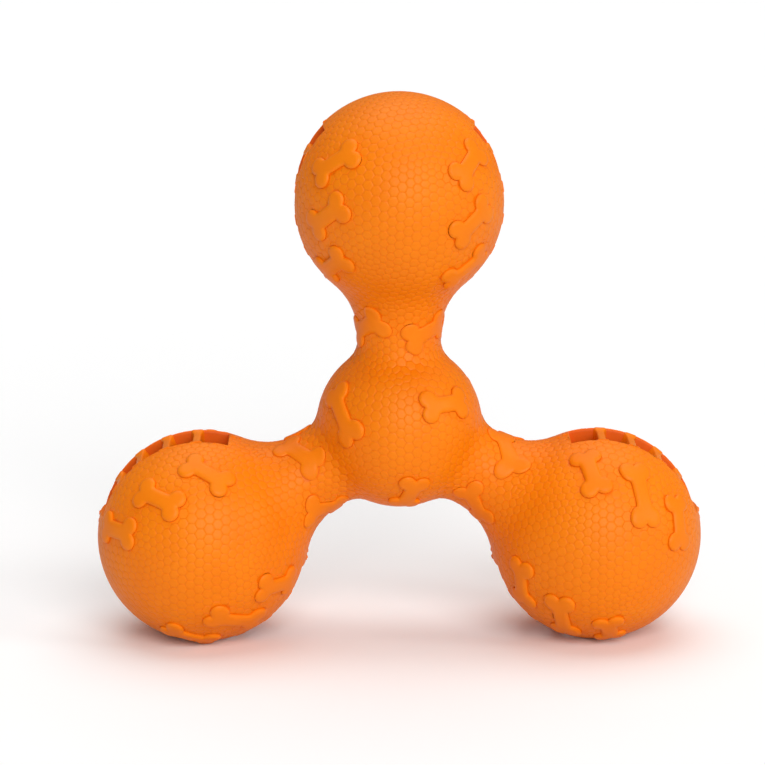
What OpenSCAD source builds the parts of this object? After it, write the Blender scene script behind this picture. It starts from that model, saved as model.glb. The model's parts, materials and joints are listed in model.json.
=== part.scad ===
// Three-ball rubber chew toy that holds treats.
// Three hollow balls stand on solid necks round a hub, all in one upright plane.
// The toy is moulded as a front half and a back half, bonded on that plane.
// The back half is the front half turned half a turn about the upright axis.
// Each half is drawn as a hub with its necks, three ball cups and the bars of their slots.

/* [Balls] */
// Outer diameter of each ball
ball_d = 60; // [50:1:72]
// Thickness of each ball's wall
ball_wall = 5; // [4:0.5:7]

/* [Hub and necks] */
// Diameter of the hub
hub_d = 46.8; // [42:0.4:54]
// Diameter of each neck at its waist
neck_d = 23.4; // [19:0.4:27]
// Length of the straight waist of each neck
neck_l = 1.2; // [0.4:0.4:12]
// Radius of the blend from a neck into its ball
ball_blend = 20; // [15:1:24]
// Radius of the blend from a neck into the hub
hub_blend = 8.2; // [6:0.2:11]

/* [Treat slots] */
// Width of each slot from its front edge to its back edge
slot_w = 13.8; // [10:0.2:17]
// Angle that each slot spans round its ball's centre
slot_angle = 90; // [70:5:100]
// Number of bars across each slot
bar_count = 4; // [2:1:5]
// Thickness of a bar at its middle
bar_t = 2.2; // [1.6:0.1:3]
// Thickness of a bar where it meets the ball's wall
bar_root_t = 3.6; // [3:0.1:4.4]
// Length of the flare at each end of a bar
bar_flare_l = 2.4; // [1.5:0.1:3.5]
// Depth of a bar from its outer face to its inner face
bar_depth = 3.2; // [2.4:0.1:4]
// Distance from the ball's surface down to a bar's outer face
bar_recess = 1.4; // [0.8:0.1:2]

/* [Raised bones] */
// Length of a raised bone
bone_l = 15.6; // [12:0.2:18]
// Width of a bone's shaft
bone_shaft_w = 4.6; // [3.6:0.2:5.4]
// Diameter of each of the two knobs at an end
bone_knob_d = 5; // [4.4:0.2:6]
// Distance between the centres of the two knobs at an end
bone_knob_gap = 4.2; // [3:0.2:5]
// Height of a bone above the surface round it
bone_h = 1.2; // [0.6:0.1:1.6]

/* [Foot] */
// Depth of the flat worn on the rims of the lower slots, where the toy stands
foot_cut = 0.4; // [0.2:0.1:0.8]

/* [Hidden] */

$fn = 96;
rubber_orange = [0.98, 0.51, 0.12];

ball_r = ball_d / 2;
hub_r = hub_d / 2;
neck_r = neck_d / 2;
slot_half = slot_w / 2;

// Centres of the two blend arcs, as the distance from the arm's axis and along it
hub_arc_x = neck_r + hub_blend;
hub_arc_z = sqrt(pow(hub_r + hub_blend, 2) - pow(hub_arc_x, 2));
ball_arc_x = neck_r + ball_blend;
ball_arc_z = hub_arc_z + neck_l;
arm_l = ball_arc_z + sqrt(pow(ball_r + ball_blend, 2) - pow(ball_arc_x, 2));

// Each cup joins its neck level with the bottom of its ball
cavity_r = ball_r - ball_wall;
joint_z = arm_l - ball_r;

// The top arm points up and the others point down to each side
arm_angles = [0, -120, 120];

// The toy stands on the rims of the lower slots, just below the level of their edges
floor_z = -arm_l * cos(60) - sqrt(pow(ball_r, 2) - pow(slot_half, 2)) + foot_cut;
reach = 2 * (arm_l + ball_r);
bar_pitch = slot_angle / (bar_count + 1);

// Bones as tilt from straight ahead, turn round the front, spin of the long axis,
// and length in percent. Each list is one arm's, drawn as if that arm pointed up.
ball_bones = [
    [[48, 143, 64, 100], [42, 183, 32, 100], [53, 220, 4, 94],
        [50, 34, 12, 100], [42, 352, 42, 100], [55, 318, 70, 100]],
    [[50, 325, 60, 100], [42, 5, 32, 100], [54, 45, 10, 100],
        [45, 177, 38, 117], [51, 216, 16, 96], [57, 142, 67, 106]],
    [[50, 217, 10, 100], [43, 177, 37, 124], [51, 140, 67, 100],
        [53, 324, 61, 101], [47, 1, 32, 117], [51, 37, 3, 88]]];
neck_bones = [
    [[51, 176, 27, 95], [41, 355, 23, 93]],
    [[47, 351, 34, 98], [47, 177, 51, 88]],
    [[55, 178, 33, 105], [39, 358, 57, 86]]];
hub_bones = [[49, 158, 146, 117], [43, 37, 150, 100], [45, 279, 156, 90]];
// Place of the neck bones along the arm, from the hub's centre to the ball's centre
neck_bone_share = 0.45;

// Outline of a bone, seen from straight above it
module bone_outline(percent) {
    knob_x = (bone_l * percent / 100 - bone_knob_d) / 2;
    square([2 * knob_x, bone_shaft_w], center = true);
    for (x = [-knob_x, knob_x], y = [-bone_knob_gap / 2, bone_knob_gap / 2])
        translate([x, y]) circle(d = bone_knob_d);
}

// A bone's block, standing out from a point in the direction that its row gives
module bone_block(bone, from_r, to_r) {
    rotate([90, 0, 0]) rotate([0, 0, bone[1]]) rotate([0, bone[0], 0]) rotate([0, 0, bone[2]])
        translate([0, 0, from_r]) linear_extrude(to_r - from_r) bone_outline(bone[3]);
}

// Half outline of hub, neck and ball beside the arm's axis, grown outwards by grow
module arm_outline(grow) {
    intersection() {
        translate([0, -reach / 2]) square([reach, reach]);
        union() {
            circle(r = hub_r + grow);
            translate([0, arm_l]) circle(r = ball_r + grow);
            difference() {
                polygon([[0, 0], [hub_arc_x, hub_arc_z], [ball_arc_x, ball_arc_z], [0, arm_l]]);
                translate([hub_arc_x, hub_arc_z]) circle(r = hub_blend - grow);
                translate([ball_arc_x, ball_arc_z]) circle(r = ball_blend - grow);
                translate([neck_r + grow, hub_arc_z]) square([reach, neck_l]);
            }
        }
    }
}

// The front half of the arm's outline turned about its axis, between two distances along it
module arm_half(grow, from_z, to_z) {
    rotate([0, 0, 180]) rotate_extrude(angle = 180) intersection() {
        arm_outline(grow);
        translate([0, from_z]) square([reach, to_z - from_z]);
    }
}

// The slots' sectors to both sides of a ball's centre
module slot_sectors() {
    half_angle = slot_angle / 2;
    for (side = [0, 180])
        rotate([0, side, 0]) rotate([90, 0, 0]) linear_extrude(slot_w, center = true)
            polygon([[0, 0], [reach, -reach * tan(half_angle)], [reach, reach * tan(half_angle)]]);
}

// The part of an arm's neck bones that lies between two distances along the arm
module neck_bone_blocks(arm, from_z, to_z) {
    intersection() {
        arm_half(bone_h, from_z, to_z);
        translate([0, 0, neck_bone_share * arm_l])
            for (bone = neck_bones[arm]) bone_block(bone, neck_r / 2, reach);
    }
}

// Half of a hollow ball with the end of its neck, for an arm that points up
module half_cup(arm) {
    difference() {
        union() {
            arm_half(0, joint_z, arm_l + reach);
            neck_bone_blocks(arm, joint_z, arm_l);
            translate([0, 0, arm_l]) intersection() {
                for (bone = ball_bones[arm]) bone_block(bone, ball_r - ball_wall / 2, ball_r + 2 * bone_h);
                sphere(r = ball_r + bone_h);
            }
        }
        translate([0, 0, arm_l]) sphere(r = cavity_r);
        translate([0, 0, arm_l]) slot_sectors();
    }
}

// Plan of half a bar, from the mid-plane out to the slot's front wall
module half_bar_outline() {
    flare_y = slot_half - bar_flare_l;
    polygon([
        [-bar_t / 2, 0], [bar_t / 2, 0], [bar_t / 2, -flare_y], [bar_root_t / 2, -slot_half],
        [-bar_root_t / 2, -slot_half], [-bar_t / 2, -flare_y]]);
}

// The front halves of the bars in both slots of a ball, for an arm that points up
module half_bars() {
    translate([0, 0, arm_l])
        for (side = [0, 180], i = [0 : bar_count - 1])
            rotate([0, side + (i - (bar_count - 1) / 2) * bar_pitch, 0])
                translate([ball_r - bar_recess - bar_depth, 0, 0])
                    rotate([0, 90, 0]) linear_extrude(bar_depth) half_bar_outline();
}

// Half of the solid hub with its three necks and the bones on them
module half_hub() {
    for (arm = [0 : 2]) rotate([0, arm_angles[arm], 0]) {
        arm_half(0, -reach, joint_z);
        neck_bone_blocks(arm, -reach, joint_z);
    }
    intersection() {
        sphere(r = hub_r + bone_h);
        for (bone = hub_bones) bone_block(bone, hub_r / 2, reach);
    }
}

// What is drawn about the hub's centre is set on the floor, cut flat there
module on_floor() {
    difference() {
        translate([0, 0, -floor_z]) children();
        translate([-reach, -reach, -reach]) cube([2 * reach, 2 * reach, reach]);
    }
}

// One arm's share of the front half, and the same turned round for the back half.
// Seen from the front, the back half's left arm is the front half's right arm.
module front(arm) {
    color(rubber_orange) on_floor() rotate([0, arm_angles[arm], 0]) children();
}

module back(arm) {
    color(rubber_orange) rotate([0, 0, 180]) on_floor() rotate([0, arm_angles[arm], 0]) children();
}

module front_hub() { front(0) half_hub(); }
module front_top_cup() { front(0) half_cup(0); }
module front_left_cup() { front(1) half_cup(1); }
module front_right_cup() { front(2) half_cup(2); }
module front_top_bars() { front(0) half_bars(); }
module front_left_bars() { front(1) half_bars(); }
module front_right_bars() { front(2) half_bars(); }
module back_hub() { back(0) half_hub(); }
module back_top_cup() { back(0) half_cup(0); }
module back_left_cup() { back(2) half_cup(2); }
module back_right_cup() { back(1) half_cup(1); }
module back_top_bars() { back(0) half_bars(); }
module back_left_bars() { back(2) half_bars(); }
module back_right_bars() { back(1) half_bars(); }

front_hub();
front_top_cup();
front_left_cup();
front_right_cup();
front_top_bars();
front_left_bars();
front_right_bars();
back_hub();
back_top_cup();
back_left_cup();
back_right_cup();
back_top_bars();
back_left_bars();
back_right_bars();
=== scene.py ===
import bmesh
import bpy
import json
import math
from mathutils import Matrix, Vector, noise
from mathutils.bvhtree import BVHTree


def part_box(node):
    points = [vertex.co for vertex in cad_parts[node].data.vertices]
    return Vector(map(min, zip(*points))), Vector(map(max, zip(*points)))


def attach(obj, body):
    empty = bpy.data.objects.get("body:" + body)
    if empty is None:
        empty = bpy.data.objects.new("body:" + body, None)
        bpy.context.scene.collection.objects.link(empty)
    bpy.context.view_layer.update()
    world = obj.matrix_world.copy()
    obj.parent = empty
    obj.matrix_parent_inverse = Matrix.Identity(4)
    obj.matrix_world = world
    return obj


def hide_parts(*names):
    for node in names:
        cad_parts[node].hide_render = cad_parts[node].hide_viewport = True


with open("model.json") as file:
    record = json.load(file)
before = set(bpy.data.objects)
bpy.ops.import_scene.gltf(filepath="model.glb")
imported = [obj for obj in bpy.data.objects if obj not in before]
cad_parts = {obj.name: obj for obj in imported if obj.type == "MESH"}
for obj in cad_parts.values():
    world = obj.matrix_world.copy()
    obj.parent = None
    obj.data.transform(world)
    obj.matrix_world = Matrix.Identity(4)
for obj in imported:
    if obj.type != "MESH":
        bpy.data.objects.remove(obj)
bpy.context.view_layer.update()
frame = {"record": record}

# sizes in metres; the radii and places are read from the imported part
toy = {
    "neckRadius": 0.0117,
    "neckLength": 0.0012,
    "ballBlend": 0.020,
    "hubBlend": 0.0082,
    "wall": 0.005,
    "smoothDegrees": 35,  # edges sharper than this stay sharp
}
ballR = -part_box("front_top_cup")[0].y
hubR = -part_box("front_hub")[0].y
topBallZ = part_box("front_top_cup")[1].z - ballR
armL = frame["record"]["mounts"][1]["pos_m"][0] / math.cos(math.radians(30))
hubZ = topBallZ - armL
neckR = toy["neckRadius"]

# centres of the blend arcs of an arm, across and along its axis from the hub's centre
hubArcX = neckR + toy["hubBlend"]
hubArcZ = math.sqrt((hubR + toy["hubBlend"]) ** 2 - hubArcX**2)
ballArcX = neckR + toy["ballBlend"]
ballArcZ = hubArcZ + toy["neckLength"]
hubEndZ = hubArcZ * hubR / (hubR + toy["hubBlend"])
ballStartZ = armL - (armL - ballArcZ) * ballR / (ballR + toy["ballBlend"])
jointZ = armL - ballR

armDegrees = {"top": 0, "left": -120, "right": 120}
print("sizes", round(ballR, 4), round(hubR, 4), round(armL, 5), round(hubZ, 5))


def armTurn(arm):
    return Matrix.Rotation(math.radians(armDegrees[arm]), 4, "Y")


armAxes = {arm: armTurn(arm) @ Vector((0, 0, 1)) for arm in armDegrees}


def armRadius(z):
    # outer radius of an arm between the hub and the ball
    if z < hubArcZ:
        return hubArcX - math.sqrt(toy["hubBlend"] ** 2 - (hubArcZ - z) ** 2)
    if z < ballArcZ:
        return neckR
    return ballArcX - math.sqrt(toy["ballBlend"] ** 2 - (z - ballArcZ) ** 2)


def onSurface(p):
    axis = max(armAxes.values(), key=p.dot)
    z = p.dot(axis)
    if z <= hubEndZ:
        out = p.normalized()
        return out * hubR, out
    if z >= ballStartZ:
        out = (p - axis * armL).normalized()
        return axis * armL + out * ballR, out
    out = (p - axis * z).normalized()
    q = axis * z + out * armRadius(z)
    if z < hubArcZ:
        return q, (out * hubArcX + axis * hubArcZ - q).normalized()
    if z < ballArcZ:
        return q, out
    return q, (out * ballArcX + axis * ballArcZ - q).normalized()


# small helpers for working as by hand
weld = 0.000005


def pick(*objs):
    bpy.ops.object.select_all(action="DESELECT")
    for obj in objs:
        obj.select_set(True)
    bpy.context.view_layer.objects.active = objs[0]


def edit(obj, kind="vertices", test=lambda item: True):
    # go to edit mode with only the chosen vertices, edges or faces selected
    pick(obj)
    mode = {"vertices": "VERT", "edges": "EDGE", "polygons": "FACE"}[kind]
    bpy.ops.object.mode_set(mode="EDIT")
    bpy.ops.mesh.select_mode(type=mode)
    bpy.ops.mesh.select_all(action="DESELECT")
    bpy.ops.object.mode_set(mode="OBJECT")
    for item in getattr(obj.data, kind):
        item.select = test(item)
    bpy.ops.object.mode_set(mode="EDIT")


def done():
    bpy.ops.object.mode_set(mode="OBJECT")


def added(name):
    obj = bpy.context.object
    obj.name = name
    bpy.ops.object.transform_apply(location=True, rotation=True, scale=True)
    return obj


def copyOf(obj, name):
    new = bpy.data.objects.new(name, obj.data.copy())
    bpy.context.scene.collection.objects.link(new)
    return new


def joined(objs, name):
    pick(*objs)
    bpy.ops.object.join()
    bpy.context.object.name = name
    return bpy.context.object


def cut(obj, tool, operation):
    pick(obj)
    mod = obj.modifiers.new("cut", "BOOLEAN")
    mod.operation = operation
    mod.solver = "EXACT"
    mod.object = tool
    bpy.ops.object.modifier_apply(modifier=mod.name)
    edit(obj)
    bpy.ops.mesh.dissolve_degenerate(threshold=weld)
    bpy.ops.mesh.remove_doubles(threshold=weld)
    done()


def trim(obj, point, normal):
    # keep what lies against the normal, and close the cut
    edit(obj)
    bpy.ops.mesh.bisect(
        plane_co=point, plane_no=normal, threshold=weld / 10, use_fill=True, clear_outer=True)
    bpy.ops.mesh.select_all(action="SELECT")
    bpy.ops.mesh.dissolve_degenerate(threshold=weld)
    bpy.ops.mesh.fill_holes(sides=0)
    done()


def midpoint(obj, edge):
    a, b = (obj.data.vertices[i].co for i in edge.vertices)
    return (a + b) / 2


def length(obj, edge):
    a, b = (obj.data.vertices[i].co for i in edge.vertices)
    return (a - b).length


# camera at the photograph's viewing angle
view = {
    "distance": 0.993,
    "elevation": 13.2,
    "azimuth": -0.94,
    "roll": -0.16,
    "focalPixels": 3512,
    "imagePixels": 765,
    "sensor": 36,
    "hubPixel": (399.2, 423.9),
}


def makeCamera():
    up = math.radians(view["elevation"])
    side = math.radians(view["azimuth"])
    hub = Vector((0, 0, hubZ))
    away = Vector((math.sin(side) * math.cos(up), -math.cos(side) * math.cos(up), math.sin(up)))
    right = away.cross(Vector((0, 0, -1))).normalized()
    above = away.cross(right).normalized()
    perPixel = view["distance"] / view["focalPixels"]
    middle = view["imagePixels"] / 2
    aim = hub - right * (view["hubPixel"][0] - middle) * perPixel
    aim += above * (view["hubPixel"][1] - middle) * perPixel
    data = bpy.data.cameras.new("camera")
    data.sensor_width = view["sensor"]
    data.lens = view["sensor"] * view["focalPixels"] / view["imagePixels"]
    data.clip_start = 0.01
    data.clip_end = 20
    cam = bpy.data.objects.new("camera", data)
    bpy.context.scene.collection.objects.link(cam)
    place = hub + away * view["distance"]
    turn = (aim - place).to_track_quat("-Z", "Y").to_matrix().to_4x4()
    roll = Matrix.Rotation(math.radians(view["roll"]), 4, "Z")
    cam.matrix_world = Matrix.Translation(place) @ turn @ roll
    bpy.context.scene.camera = cam


makeCamera()

# the even triangle net that the honeycomb grows from
net = {
    "ballSteps": 4,
    "hubSteps": 2,
    "hubCuts": 2,
    "ballGap": 30,  # degrees left open round the neck
    "hubGap": 37,
    "columns": 18,
    "rows": 5,
    "neckFrom": 0.0200,
    "neckTo": 0.0348,
    "edge": 0.0043,
    "mergeShare": 0.6,
    "splitShare": 1.5,
    "rounds": 24,
    "mendRounds": (0, 4, 8),
    "rims": ((0.0125, 0.0215), (0.033, 0.0465)),  # along the arm, where open rims are bridged
    "zone": (0.0155, 0.0435),  # along the arm, where the net is evened out
}


def ballNet(arm):
    centre = Vector((0, 0, armL))
    bpy.ops.mesh.primitive_ico_sphere_add(
        subdivisions=net["ballSteps"], radius=ballR, location=centre)
    ball = added("ballNet")
    gap = math.cos(math.radians(net["ballGap"]))
    edit(ball, "vertices", lambda v: (centre - v.co).normalized().z > gap)
    bpy.ops.mesh.delete(type="VERT")
    done()
    ball.data.transform(armTurn(arm))
    return ball


def hubNet():
    bpy.ops.mesh.primitive_ico_sphere_add(subdivisions=net["hubSteps"], radius=hubR)
    hub = added("hubNet")
    edit(hub)
    bpy.ops.mesh.subdivide(number_cuts=net["hubCuts"])
    done()
    for v in hub.data.vertices:
        v.co = v.co.normalized() * hubR
    gap = math.cos(math.radians(net["hubGap"]))
    edit(hub, "vertices", lambda v: max(v.co.normalized().dot(a) for a in armAxes.values()) > gap)
    bpy.ops.mesh.delete(type="VERT")
    done()
    return hub


def neckNet(arm):
    low, high, rows, columns = net["neckFrom"], net["neckTo"], net["rows"], net["columns"]
    bpy.ops.mesh.primitive_cylinder_add(
        vertices=columns, radius=neckR, depth=high - low, end_fill_type="NOTHING",
        location=(0, 0, (low + high) / 2))
    neck = added("neckNet")
    edit(neck, "edges", lambda e: length(neck, e) > (high - low) / 2)
    bpy.ops.mesh.subdivide(number_cuts=rows - 2)
    done()
    for v in neck.data.vertices:
        row = round((v.co.z - low) / (high - low) * (rows - 1))
        turn = math.atan2(v.co.y, v.co.x) + math.pi / columns * (row % 2)
        r = armRadius(v.co.z)
        v.co = Vector((r * math.cos(turn), r * math.sin(turn), v.co.z))
    edit(neck)
    bpy.ops.mesh.quads_convert_to_tris(quad_method="SHORTEST_DIAGONAL")
    done()
    neck.data.transform(armTurn(arm))
    return neck


def openEdges(obj):
    bm = bmesh.new()
    bm.from_mesh(obj.data)
    found = {e.index for e in bm.edges if e.is_boundary}
    bm.free()
    return found


def makeNet():
    parts = [hubNet()] + [ballNet(arm) for arm in armDegrees] + [neckNet(arm) for arm in armDegrees]
    skin = joined(parts, "skin")
    for axis in armAxes.values():
        for near, far in net["rims"]:
            rim = openEdges(skin)

            def onRim(e):
                mid = midpoint(skin, e)
                z = mid.dot(axis)
                nearest = z == max(mid.dot(a) for a in armAxes.values())
                return e.index in rim and near < z < far and nearest

            edit(skin, "edges", onRim)
            bpy.ops.mesh.bridge_edge_loops()
            done()

    def inZone(v):
        z = max(v.co.dot(a) for a in armAxes.values())
        return net["zone"][0] < z < net["zone"][1]

    for k in range(net["rounds"]):
        edit(skin, "vertices", inZone)
        bpy.ops.mesh.quads_convert_to_tris(quad_method="BEAUTY")
        bpy.ops.mesh.beautify_fill(angle_limit=math.pi)
        if k in net["mendRounds"]:
            bpy.ops.mesh.remove_doubles(threshold=net["edge"] * net["mergeShare"])
            done()
            edit(skin, "edges", lambda e: length(skin, e) > net["edge"] * net["splitShare"])
            bpy.ops.mesh.subdivide(number_cuts=1)
            done()
            edit(skin)
            bpy.ops.mesh.quads_convert_to_tris(quad_method="BEAUTY")
        done()
        edit(skin, "vertices", inZone)
        bpy.ops.mesh.vertices_smooth(factor=0.5, repeat=2)
        done()
        for v in skin.data.vertices:
            v.co = onSurface(v.co)[0]
    edit(skin)
    bpy.ops.mesh.normals_make_consistent(inside=False)
    done()
    return skin


# honeycomb: every corner and every triangle of the net becomes one raised cell
honeycomb = {
    "cornerPercent": 33.3,
    "grooveHalf": 0.00012,
    "groove": 0.00008,
    "crown": 0.00036,
    "crownRise": 0.00004,
    "uneven": 0.00016,  # how far a cell lies off the even net
    "unevenScale": 700,
    "unevenSeed": 1,  # without one the noise follows the clock
    "unevenDepth": 0.002,  # nearer than this to the mid-plane the net stays even
    "mostSides": 8,  # a cell with more sides than this has been clipped
    "least": 0.0009,  # a cell cut narrower than this stays down in the groove
}


def cutCells(skin):
    for name in ("plain", "cell"):
        skin.data.materials.append(bpy.data.materials.new(name))
    noise.seed_set(honeycomb["unevenSeed"])
    for v in skin.data.vertices:
        if v.co.y < -honeycomb["unevenDepth"]:
            shift = noise.noise_vector(v.co * honeycomb["unevenScale"]) * honeycomb["uneven"]
            v.co = onSurface(v.co + shift)[0]
    edit(skin)
    bpy.ops.mesh.bevel(
        affect="VERTICES", offset_type="PERCENT", offset_pct=honeycomb["cornerPercent"])
    done()
    sink = honeycomb["groove"] + honeycomb["crownRise"]
    for v in skin.data.vertices:
        point, out = onSurface(v.co)
        v.co = point - out * sink
    for f in skin.data.polygons:
        f.material_index = 1
    print("cells", len(skin.data.polygons))


def raiseCells(skin):
    whole, clipped = set(), set()
    for f in skin.data.polygons:
        corners = [skin.data.vertices[i].co for i in f.vertices]
        sides = [(a - b).length for a, b in zip(corners, corners[1:] + corners[:1])]
        if f.material_index == 1 and 4 * f.area / sum(sides) > honeycomb["least"]:
            isWhole = len(sides) <= honeycomb["mostSides"] and min(sides) > honeycomb["crown"]
            (whole if isWhole else clipped).add(f.index)
    half, depth, rise = honeycomb["grooveHalf"], honeycomb["groove"], honeycomb["crownRise"]
    edit(skin, "polygons", lambda f: f.index in whole)
    bpy.ops.mesh.inset(thickness=half, depth=depth, use_individual=True)
    bpy.ops.mesh.inset(thickness=honeycomb["crown"], depth=rise, use_individual=True)
    done()
    edit(skin, "polygons", lambda f: f.index in clipped)
    bpy.ops.mesh.inset(
        thickness=half, depth=depth + rise, use_even_offset=False, use_individual=True)
    done()
    for v in skin.data.vertices:
        v.co.y = min(v.co.y, 0)
    print("honeycomb", len(whole), "whole cells", len(clipped), "clipped")


# raised bones, as tilt from straight ahead, turn round the front, spin of the long axis
# and length in percent
bone = {
    "length": 0.0156,
    "shaft": 0.0046,
    "knob": 0.0050,
    "knobSides": 28,
    "knobGap": 0.0042,
    "height": 0.0010,
    "root": 0.0009,  # how far it reaches under the surface
    "fillet": 0.0009,
    "weld": 0.00005,
    "level": 0.9,  # least upright part of the normal of a flat face
    "rows": (9, 3),
    "rowSpread": 0.7,
    "edges": ((0.00024, 0.00030), (0.00036, 0.00018), (0.00050, 0.00009), (0.00062, 0.00002)),
    "ball": {
        "top": (
            (48, 143, 64, 100), (42, 183, 32, 100), (53, 220, 4, 94),
            (50, 34, 12, 100), (42, 352, 42, 100), (55, 318, 70, 100)),
        "left": (
            (50, 325, 60, 100), (42, 5, 32, 100), (54, 45, 10, 100),
            (45, 177, 38, 117), (51, 216, 16, 96), (57, 142, 67, 106)),
        "right": (
            (50, 217, 10, 100), (43, 177, 37, 124), (51, 140, 67, 100),
            (53, 324, 61, 101), (47, 1, 32, 117), (51, 37, 3, 88)),
    },
    "neck": {
        "top": ((51, 176, 27, 95), (41, 355, 23, 93)),
        "left": ((47, 351, 34, 98), (47, 177, 51, 88)),
        "right": ((55, 178, 33, 105), (39, 358, 57, 86)),
    },
    "hub": ((49, 158, 146, 117), (43, 37, 150, 100), (45, 279, 156, 90)),
    "neckPlace": 0.45,  # share of the arm's length
    "neckRise": 0.65,  # share of the height that is left on the necks
}


def flatBone():
    # one bone lying flat with rounded edges, its underside below the surface it will stand on
    rise = bone["height"] - sum(depth for inset, depth in bone["edges"])
    low = -bone["root"]
    knobX = (bone["length"] - bone["knob"]) / 2
    bpy.ops.mesh.primitive_cube_add(size=1, location=(0, 0, (low + rise) / 2))
    bpy.context.object.scale = (2 * knobX, bone["shaft"], rise - low)
    body = added("bone")
    for x in (-knobX, knobX):
        for y in (-bone["knobGap"] / 2, bone["knobGap"] / 2):
            bpy.ops.mesh.primitive_cylinder_add(
                vertices=bone["knobSides"], radius=bone["knob"] / 2, depth=rise - low,
                location=(x, y, (low + rise) / 2))
            knob = added("knob")
            cut(body, knob, "UNION")
            bpy.data.objects.remove(knob)
    edit(body)
    bpy.ops.mesh.dissolve_limited(angle_limit=math.radians(1))
    done()
    bm = bmesh.new()
    bm.from_mesh(body.data)
    sharp = []
    for e in bm.edges:
        upright = abs(e.verts[0].co.z - e.verts[1].co.z) > (rise - low) / 2
        if upright and not e.is_convex and e.calc_face_angle() > math.radians(20):
            sharp.append(e.index)
    bm.free()
    edit(body, "edges", lambda e: e.index in sharp)
    bpy.ops.mesh.bevel(offset=bone["fillet"], segments=4)
    bpy.ops.mesh.select_all(action="SELECT")
    bpy.ops.mesh.remove_doubles(threshold=bone["weld"])
    done()
    edit(body, "polygons", lambda f: f.normal.z > bone["level"])
    for thickness, depth in bone["edges"]:
        bpy.ops.mesh.inset(thickness=thickness, depth=depth)
    done()
    for k in range(1, bone["rows"][0]):  # rows across and along, so that it can bend over a ball
        x = bone["length"] * (k / bone["rows"][0] - 0.5)
        edit(body, "polygons", lambda f: abs(f.normal.z) > bone["level"])
        bpy.ops.mesh.bisect(plane_co=(x, 0, 0), plane_no=(1, 0, 0))
        done()
    for k in range(bone["rows"][1]):
        y = bone["shaft"] * (k / (bone["rows"][1] - 1) - 0.5) * bone["rowSpread"]
        edit(body, "polygons", lambda f: abs(f.normal.z) > bone["level"])
        bpy.ops.mesh.bisect(plane_co=(0, y, 0), plane_no=(0, 1, 0))
        done()
    edit(body)
    bpy.ops.mesh.remove_doubles(threshold=bone["weld"])
    done()
    return body


def standing(row):
    tilt, turn, spin = (math.radians(a) for a in row[:3])
    return (
        Matrix.Rotation(math.pi / 2, 4, "X") @ Matrix.Rotation(turn, 4, "Z")
        @ Matrix.Rotation(tilt, 4, "Y") @ Matrix.Rotation(spin, 4, "Z"))


def makeBones(skin):
    flat = flatBone()
    hits = BVHTree.FromObject(skin, bpy.context.evaluated_depsgraph_get())
    places = [(Vector(), Matrix.Identity(4), row, 1) for row in bone["hub"]]
    for arm in armDegrees:
        turn, ball = armTurn(arm), armAxes[arm] * armL
        neck, low = ball * bone["neckPlace"], bone["neckRise"]
        places += [(ball, turn, row, 1) for row in bone["ball"][arm]]
        places += [(neck, turn, row, low) for row in bone["neck"][arm]]
    bones = []
    for centre, turn, row, rise in places:
        piece = copyOf(flat, "bone")
        stand = turn @ standing(row)
        ahead = (stand @ Vector((0, 0, 1, 0))).to_3d()
        knobX = (bone["length"] - bone["knob"]) / 2
        extra = bone["length"] * (row[3] / 100 - 1) / 2
        for v in piece.data.vertices:  # the shaft takes up the difference in length
            v.co.x += extra * max(-1, min(1, v.co.x / knobX))
            start = centre + (stand @ Vector((v.co.x, v.co.y, 0)))
            hit = hits.ray_cast(start, ahead)[0]
            point, out = onSurface(hit)
            v.co = point + out * v.co.z * (rise if v.co.z > 0 else 1)
        bones.append(piece)
    bpy.data.objects.remove(flat)
    print("bones", len(bones))
    return bones


# hollow balls and their slots
slot = {
    "from": 0.012,  # cut from inside the hollow outwards
    "half": 0.0069,
    "degrees": 90,
    "rim": 0.0007,
    "rimSteps": 4,
    "beyond": 1.2,  # how far the flare runs on outside the ball
    "steps": 128,  # round the whole turn
    "hollowSteps": 5,
}


def slotCutter():
    # a sector with flared edges that rounds the slot's rims, for an arm that points up
    half, rim = slot["half"], slot["rim"]
    rimS = math.sqrt((ballR - rim) ** 2 - (half + rim) ** 2)
    lift = math.atan2(half + rim, rimS)
    profile = [(slot["from"], half), (rimS, half)]
    for k in range(1, slot["rimSteps"] + 1):
        turn = -math.pi / 2 + (math.pi / 2 + lift) * k / slot["rimSteps"]
        profile.append((rimS + rim * math.cos(turn), half + rim + rim * math.sin(turn)))
    profile.append((profile[-1][0] * slot["beyond"], profile[-1][1] * slot["beyond"]))
    outline = [(s, -y) for s, y in profile] + [(s, y) for s, y in reversed(profile)]
    mesh = bpy.data.meshes.new("slotCutter")
    edges = [(i, (i + 1) % len(outline)) for i in range(len(outline))]
    mesh.from_pydata([(s, y, 0) for s, y in outline], edges, [])
    cutter = bpy.data.objects.new("slotCutter", mesh)
    bpy.context.scene.collection.objects.link(cutter)
    pick(cutter)
    mod = cutter.modifiers.new("turned", "SCREW")
    mod.axis = "Y"
    mod.angle = 2 * math.pi
    mod.steps = slot["steps"]
    bpy.ops.object.modifier_apply(modifier=mod.name)
    edit(cutter)
    bpy.ops.mesh.select_all(action="SELECT")
    bpy.ops.mesh.normals_make_consistent(inside=False)
    done()
    reach = math.radians(slot["degrees"] / 2)
    for side in (-1, 1):
        trim(cutter, (0, 0, 0), (-math.sin(reach), 0, side * math.cos(reach)))
    cutter.data.transform(Matrix.Translation((0, 0, armL)))
    return cutter


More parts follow.
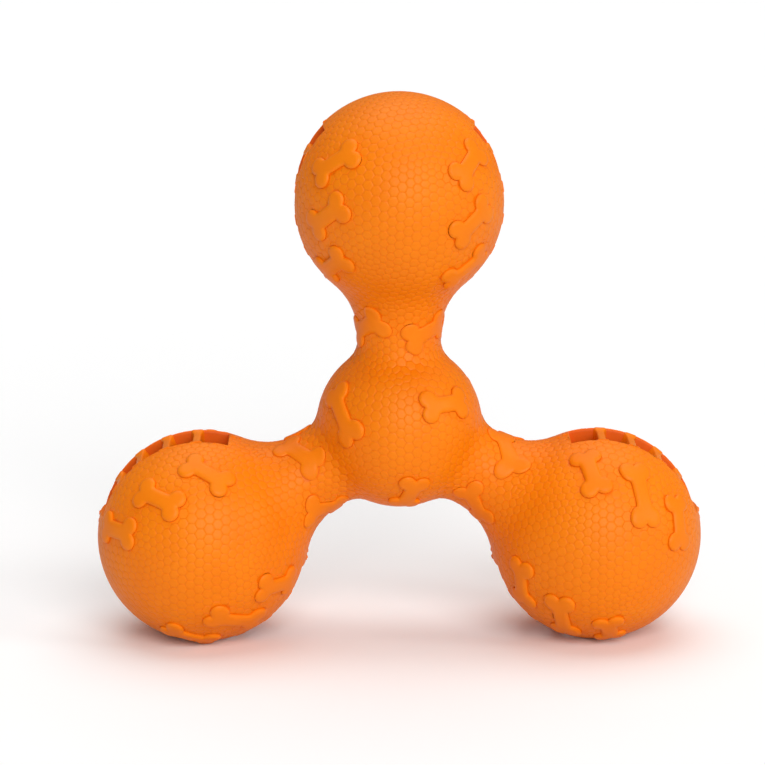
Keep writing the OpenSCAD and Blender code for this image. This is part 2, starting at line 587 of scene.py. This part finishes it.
def makeHollows(skin):
    bpy.ops.mesh.primitive_ico_sphere_add(
        subdivisions=slot["hollowSteps"], radius=ballR - toy["wall"], location=(0, 0, armL))
    hollow = added("hollow")
    right = slotCutter()
    left = copyOf(right, "slotCutter")
    left.data.transform(Matrix.Rotation(math.pi, 4, "Z"))
    for arm in armDegrees:
        for tool in (hollow, right, left):
            turned = copyOf(tool, "tool")
            turned.data.transform(armTurn(arm))
            cut(skin, turned, "DIFFERENCE")
            bpy.data.objects.remove(turned)
    for tool in (hollow, right, left):
        bpy.data.objects.remove(tool)


def split(half):
    # hub and cups of one half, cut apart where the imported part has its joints
    hub = copyOf(half, "hubPiece")
    for axis in armAxes.values():
        trim(hub, axis * jointZ, axis)
    cups = {}
    for arm in armDegrees:
        cup = copyOf(half, arm + "Cup")
        trim(cup, armAxes[arm] * jointZ, -armAxes[arm])
        cups[arm] = cup
    return hub, cups


# bars across the slots, each one half from the mid-plane to the slot's front wall
bar = {
    "count": 4,
    "pitch": 18,
    "thick": 0.0022,
    "rootThick": 0.0037,
    "depth": 0.0032,
    "recess": 0.0014,
    "rootRise": 0.0006,
    "rootDrop": 0.0005,
    "flare": 0.0030,
    "flareCurve": 2.2,
    "rowCurve": 1.5,
    "sunk": 0.0004,  # how far a bar reaches into the slot's wall
    "round": 0.00045,
    "rows": 9,
}


def oneBar():
    long, outer = slot["half"] + bar["sunk"], ballR - bar["recess"]
    bpy.ops.mesh.primitive_cube_add(size=1, location=(outer - bar["depth"] / 2, -long / 2, 0))
    bpy.context.object.scale = (bar["depth"], long, bar["thick"])
    piece = added("bar")
    edit(piece, "edges", lambda e: length(piece, e) > long * 0.9)
    bpy.ops.mesh.bevel(offset=bar["round"], segments=3)
    done()
    for k in range(bar["rows"]):
        edit(piece)
        y = -slot["half"] + bar["flare"] * (1 - k / (bar["rows"] - 1)) ** bar["rowCurve"]
        bpy.ops.mesh.bisect(plane_co=(0, y, 0), plane_no=(0, 1, 0), threshold=weld / 10)
        done()
    for v in piece.data.vertices:
        way = max(0, (-v.co.y - slot["half"] + bar["flare"]) / bar["flare"])
        swell = min(1, way) ** bar["flareCurve"]
        v.co.z *= 1 + (bar["rootThick"] / bar["thick"] - 1) * swell
        x = v.co.x - (outer - bar["depth"] / 2)
        reach = bar["rootRise"] if x > 0 else -bar["rootDrop"]
        v.co.x += swell * reach * abs(x) / (bar["depth"] / 2)
    return piece


def makeBars(arm):
    bars = []
    pattern = oneBar()
    for side in (0, 180):
        for k in range(bar["count"]):
            piece = copyOf(pattern, "bar")
            turn = math.radians(side + (k - (bar["count"] - 1) / 2) * bar["pitch"])
            piece.data.transform(Matrix.Translation((0, 0, armL)) @ Matrix.Rotation(turn, 4, "Y"))
            piece.data.transform(armTurn(arm))
            bars.append(piece)
    bpy.data.objects.remove(pattern)
    return joined(bars, arm + "Bars")


# ragged flash left on the mid-plane beside the slots' ends: place round the ball and width,
# both in degrees, and height
flash = {
    "places": (
        (46.6, 2.6, 0.0005), (133.2, 3, 0.0004), (129, 2.5, 0.0002),
        (226.8, 3, 0.0005), (231, 2.5, 0.0003), (312.9, 3, 0.0004)),
    "thick": 0.00022,
    "tip": 0.35,  # share of the thickness left at the ragged edge
    "sunk": 0.0016,
    "teeth": 7,
    "even": 0.65,  # share of the height that all teeth have
    "ragged": 0.5,
    "raggedScale": 4,
}


def makeFlash(arm):
    tabs = []
    for place, width, height in flash["places"]:
        tall = height + flash["sunk"]
        middle = (0, -flash["thick"] / 2, height - tall / 2)
        bpy.ops.mesh.primitive_cube_add(size=1, location=middle)
        bpy.context.object.scale = (width, flash["thick"], tall)
        tab = added("flash")
        for k in range(1, flash["teeth"]):
            edit(tab)
            bpy.ops.mesh.select_all(action="SELECT")
            x = width * (k / flash["teeth"] - 0.5)
            bpy.ops.mesh.bisect(plane_co=(x, 0, 0), plane_no=(1, 0, 0))
            done()
        for v in tab.data.vertices:
            if v.co.z > 0:
                end = 1 - (2 * v.co.x / width) ** 4
                rag = flash["ragged"] * noise.noise((flash["raggedScale"] * v.co.x, place, 0))
                v.co.z *= end * (flash["even"] + rag)
                v.co.y *= flash["tip"]
            turn = math.radians(place + v.co.x)
            r = ballR + v.co.z
            v.co = Vector((r * math.cos(turn), v.co.y, armL + r * math.sin(turn)))
        edit(tab)
        bpy.ops.mesh.select_all(action="SELECT")
        bpy.ops.mesh.normals_make_consistent(inside=False)
        done()
        tab.data.transform(armTurn(arm))
        tabs.append(tab)
    return tabs


def markRise(piece, least):
    # how far a corner stands up: 0 inside the balls, 0.5 in the grooves, 1 on cells and bones
    # the rubber material paints shade into the grooves and the hollows from this
    rise = piece.data.attributes.new("rise", "FLOAT", "POINT")
    sink = honeycomb["groove"] + honeycomb["crownRise"]
    for v in piece.data.vertices:
        point, out = onSurface(v.co)
        rise.data[v.index].value = max(least, min(1, 1 + (v.co - point).dot(out) / sink / 2))


# rubber of one colour, mottled a little, with a fine matt skin, and painted shade: darker in the
# grooves and darker still inside the balls
rubber = {
    "deep": (0.90, 0.201, 0.0006, 1),
    "light": (0.94, 0.229, 0.0016, 1),
    # painted shade in the honeycomb grooves
    "groove": (0.87, 0.184, 0.0006, 1),
    # painted shade on the insides of the hollow balls
    "inside": (0.80, 0.120, 0.0014, 1),
    "colourStops": (0.3, 0.7),
    "paintedShadeStops": (0.1, 0.45),
    "shadeFadeRise": (0.5, 0.85),  # from the painted groove shade to the colour on top
    "mottleScale": 75,
    "mottleDetail": 6,
    "grainScale": 1300,
    "grainDetail": 3,
    "grain": 0.4,
    "grainDepth": 0.00006,
    "roughLow": 0.36,
    "roughHigh": 0.50,
    "gloss": 0.17,
    "soft": 0.06,
    "softColour": (1.0, 0.30, 0.05),
    "softDepth": 0.001,
}


def noiseNode(nodes, name):
    texture = nodes.new("ShaderNodeTexNoise")
    texture.inputs["Scale"].default_value = rubber[name + "Scale"]
    texture.inputs["Detail"].default_value = rubber[name + "Detail"]
    return texture


def rampNode(nodes, stops, colours):
    ramp = nodes.new("ShaderNodeValToRGB")
    for stop, colour, element in zip(stops, colours, ramp.color_ramp.elements):
        element.position = stop
        element.color = colour
    return ramp


def makeRubber():
    material = bpy.data.materials.new("orangeRubber")
    material.use_nodes = True
    nodes, links = material.node_tree.nodes, material.node_tree.links
    shader = nodes["Principled BSDF"]
    coords = nodes.new("ShaderNodeTexCoord")
    mottle = noiseNode(nodes, "mottle")
    grain = noiseNode(nodes, "grain")
    colours = rampNode(nodes, rubber["colourStops"], (rubber["deep"], rubber["light"]))
    rise = nodes.new("ShaderNodeAttribute")
    rise.attribute_name = "rise"
    # painted shade from the rise of each corner: darkest inside the balls, lighter in the grooves
    low = rampNode(nodes, rubber["paintedShadeStops"], (rubber["inside"], rubber["groove"]))
    share = nodes.new("ShaderNodeMapRange")
    share.inputs["From Min"].default_value = rubber["shadeFadeRise"][0]
    share.inputs["From Max"].default_value = rubber["shadeFadeRise"][1]
    # the mottled colour on top, with painted shade mixed in lower down
    paintedShadeMix = nodes.new("ShaderNodeMix")
    paintedShadeMix.data_type = "RGBA"
    rough = nodes.new("ShaderNodeMapRange")
    rough.inputs["To Min"].default_value = rubber["roughLow"]
    rough.inputs["To Max"].default_value = rubber["roughHigh"]
    bump = nodes.new("ShaderNodeBump")
    bump.inputs["Strength"].default_value = rubber["grain"]
    bump.inputs["Distance"].default_value = rubber["grainDepth"]
    for texture in (mottle, grain):
        links.new(coords.outputs["Object"], texture.inputs["Vector"])
    links.new(mottle.outputs["Fac"], colours.inputs["Fac"])
    links.new(rise.outputs["Fac"], low.inputs["Fac"])
    links.new(rise.outputs["Fac"], share.inputs["Value"])
    links.new(share.outputs["Result"], paintedShadeMix.inputs["Factor"])
    links.new(low.outputs["Color"], paintedShadeMix.inputs["A"])
    links.new(colours.outputs["Color"], paintedShadeMix.inputs["B"])
    links.new(paintedShadeMix.outputs["Result"], shader.inputs["Base Color"])
    links.new(grain.outputs["Fac"], rough.inputs["Value"])
    links.new(rough.outputs["Result"], shader.inputs["Roughness"])
    links.new(grain.outputs["Fac"], bump.inputs["Height"])
    links.new(bump.outputs["Normal"], shader.inputs["Normal"])
    shader.inputs["Specular IOR Level"].default_value = rubber["gloss"]
    shader.inputs["Subsurface Weight"].default_value = rubber["soft"]
    shader.inputs["Subsurface Radius"].default_value = rubber["softColour"]
    shader.inputs["Subsurface Scale"].default_value = rubber["softDepth"]
    return material


# white surroundings and soft light, mostly from the front, above and to the right
studio = {
    "ambient": 0.22,
    "keyStrength": 1.80,
    "keyFrom": (0.20, -0.86, 0.47),
    "keySoft": 40,
    "sideStrength": 0.45,
    "sideFrom": (0.82, -0.37, 0.38),
    "sideSoft": 14,
    "topStrength": 1.40,
    "topFrom": (0.05, 0.22, 1.0),
    "topSoft": 60,
    "floorSize": 30,
    "floorWhite": 0.82,
    "floorSeen": 1.03,  # the floor's colour as the camera sees it
}


def makeStudio():
    world = bpy.data.worlds.new("studio")
    bpy.context.scene.world = world
    world.use_nodes = True
    nodes, links = world.node_tree.nodes, world.node_tree.links
    background = nodes["Background"]
    background.inputs["Color"].default_value = (1, 1, 1, 1)
    level = nodes.new("ShaderNodeMapRange")
    level.inputs["To Min"].default_value = studio["ambient"]
    level.inputs["To Max"].default_value = 1
    links.new(nodes.new("ShaderNodeLightPath").outputs["Is Camera Ray"], level.inputs["Value"])
    links.new(level.outputs["Result"], background.inputs["Strength"])

    bpy.ops.mesh.primitive_plane_add(size=studio["floorSize"])
    floor = added("studioFloor")
    paper = bpy.data.materials.new("whitePaper")
    paper.use_nodes = True
    nodes, links = paper.node_tree.nodes, paper.node_tree.links
    nodes.remove(nodes["Principled BSDF"])
    shader = nodes.new("ShaderNodeBsdfDiffuse")
    tone = nodes.new("ShaderNodeMapRange")
    tone.inputs["To Min"].default_value = studio["floorWhite"]
    tone.inputs["To Max"].default_value = studio["floorSeen"]
    links.new(nodes.new("ShaderNodeLightPath").outputs["Is Camera Ray"], tone.inputs["Value"])
    links.new(tone.outputs["Result"], shader.inputs["Color"])
    links.new(shader.outputs["BSDF"], nodes["Material Output"].inputs["Surface"])
    floor.data.materials.append(paper)

    for name in ("key", "side", "top"):
        data = bpy.data.lights.new(name, "SUN")
        data.energy = studio[name + "Strength"]
        data.angle = math.radians(studio[name + "Soft"])
        lamp = bpy.data.objects.new(name, data)
        bpy.context.scene.collection.objects.link(lamp)
        lamp.rotation_euler = Vector(studio[name + "From"]).to_track_quat("Z", "Y").to_euler()
    bpy.context.scene.view_settings.view_transform = "Standard"


skin = makeNet()
smooth = copyOf(skin, "smooth")
cutCells(skin)
for piece in makeBones(smooth):
    cut(skin, piece, "UNION")
    bpy.data.objects.remove(piece)
bpy.data.objects.remove(smooth)
makeHollows(skin)
trim(skin, (0, 0, 0), (0, 1, 0))
for f in skin.data.polygons:
    if f.normal.y > 0.99 and abs(f.center.y) < 2 * weld:  # the faces that meet the other half
        f.material_index = 0
raiseCells(skin)
hub, cups = split(skin)
bpy.data.objects.remove(skin)

pieces = {"front_hub": hub}
for arm in armDegrees:
    pieces["front_" + arm + "_cup"] = joined([cups[arm]] + makeFlash(arm), arm + "Cup")
    pieces["front_" + arm + "_bars"] = makeBars(arm)
for name, piece in pieces.items():
    # the bars get no painted shade
    markRise(piece, 1 if name.endswith("bars") else 0)
    piece.data.transform(Matrix.Translation((0, 0, hubZ)))
for arm in ("left", "right"):
    for kind in ("cup", "bars"):
        trim(pieces["front_" + arm + "_" + kind], (0, 0, 0), (0, 0, -1))
turned = {"hub": "hub", "top": "top", "left": "right", "right": "left"}  # seen from the front
for name in list(pieces):
    parts = name.split("_")
    back = "_".join(["back", turned[parts[1]]] + parts[2:])
    pieces[back] = copyOf(pieces[name], back)
    pieces[back].data.transform(Matrix.Rotation(math.pi, 4, "Z"))
orangeRubber = makeRubber()
for node, piece in pieces.items():
    piece.name = "rubber_" + node
    piece.data.name = piece.name
    piece.data.materials.clear()
    piece.data.materials.append(orangeRubber)
    for f in piece.data.polygons:
        f.material_index = 0
    pick(piece)
    bpy.ops.object.shade_smooth_by_angle(angle=math.radians(toy["smoothDegrees"]))
    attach(piece, "root")
    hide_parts(node)
print("pieces", len(pieces))

makeStudio()
